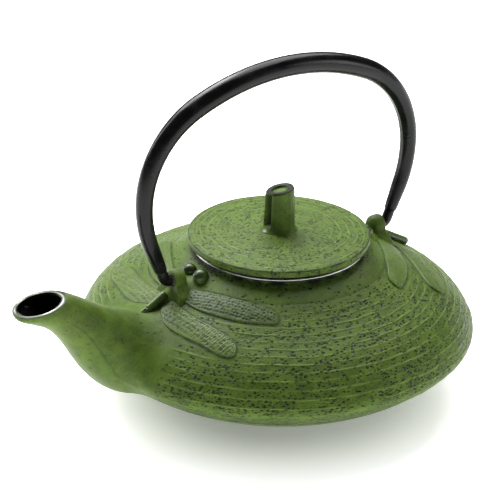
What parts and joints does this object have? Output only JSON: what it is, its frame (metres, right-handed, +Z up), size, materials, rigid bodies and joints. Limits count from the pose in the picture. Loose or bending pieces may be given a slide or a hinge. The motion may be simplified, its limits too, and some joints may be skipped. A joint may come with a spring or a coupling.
{
  "type": "cast iron teapot",
  "caption": "Flat round cast iron teapot with a swinging bail, a lift-off lid, a raised insect relief at each lug and a lift-out steel infuser.",
  "frame": {"origin": "centre of the flat base, on the axis of the round pot", "axes": "+Z up along the pot's axis, +X along the spout, the bail's pivot line runs along X"},
  "size_m": [0.2337, 0.1866, 0.1652],
  "materials": {
    "green_iron": "satin green enamel with worn black pits",
    "infuser_steel": "polished stainless steel",
    "black_enamel": "gloss black enamel"
  },
  "bodies": {
    "pot": {"pot_body": "green_iron", "spout": "green_iron", "front_lug": "green_iron", "rear_lug": "green_iron", "front_dragonfly": "green_iron", "rear_dragonfly": "green_iron"},
    "infuser": {"infuser_rim": "infuser_steel", "infuser_wall": "infuser_steel", "infuser_floor": "infuser_steel"},
    "lid": {"lid": "green_iron", "lid_knob": "green_iron"},
    "bail": {"bail": "black_enamel", "front_hook": "black_enamel", "rear_hook": "black_enamel"}
  },
  "joints": [
    {"name": "bail_swing", "type": "hinge", "parent": "pot", "child": "bail", "pos_m": [0.0567, 0, 0.0683], "axis": [1, 0, 0], "range_deg": [-98, 98]},
    {"name": "infuser_lift", "type": "slide", "parent": "pot", "child": "infuser", "axis": [0, 0, 1], "range_m": [0, 0.05]},
    {"name": "lid_lift", "type": "slide", "parent": "infuser", "child": "lid", "axis": [0, 0, 1], "range_m": [0, 0.048]}
  ]
}
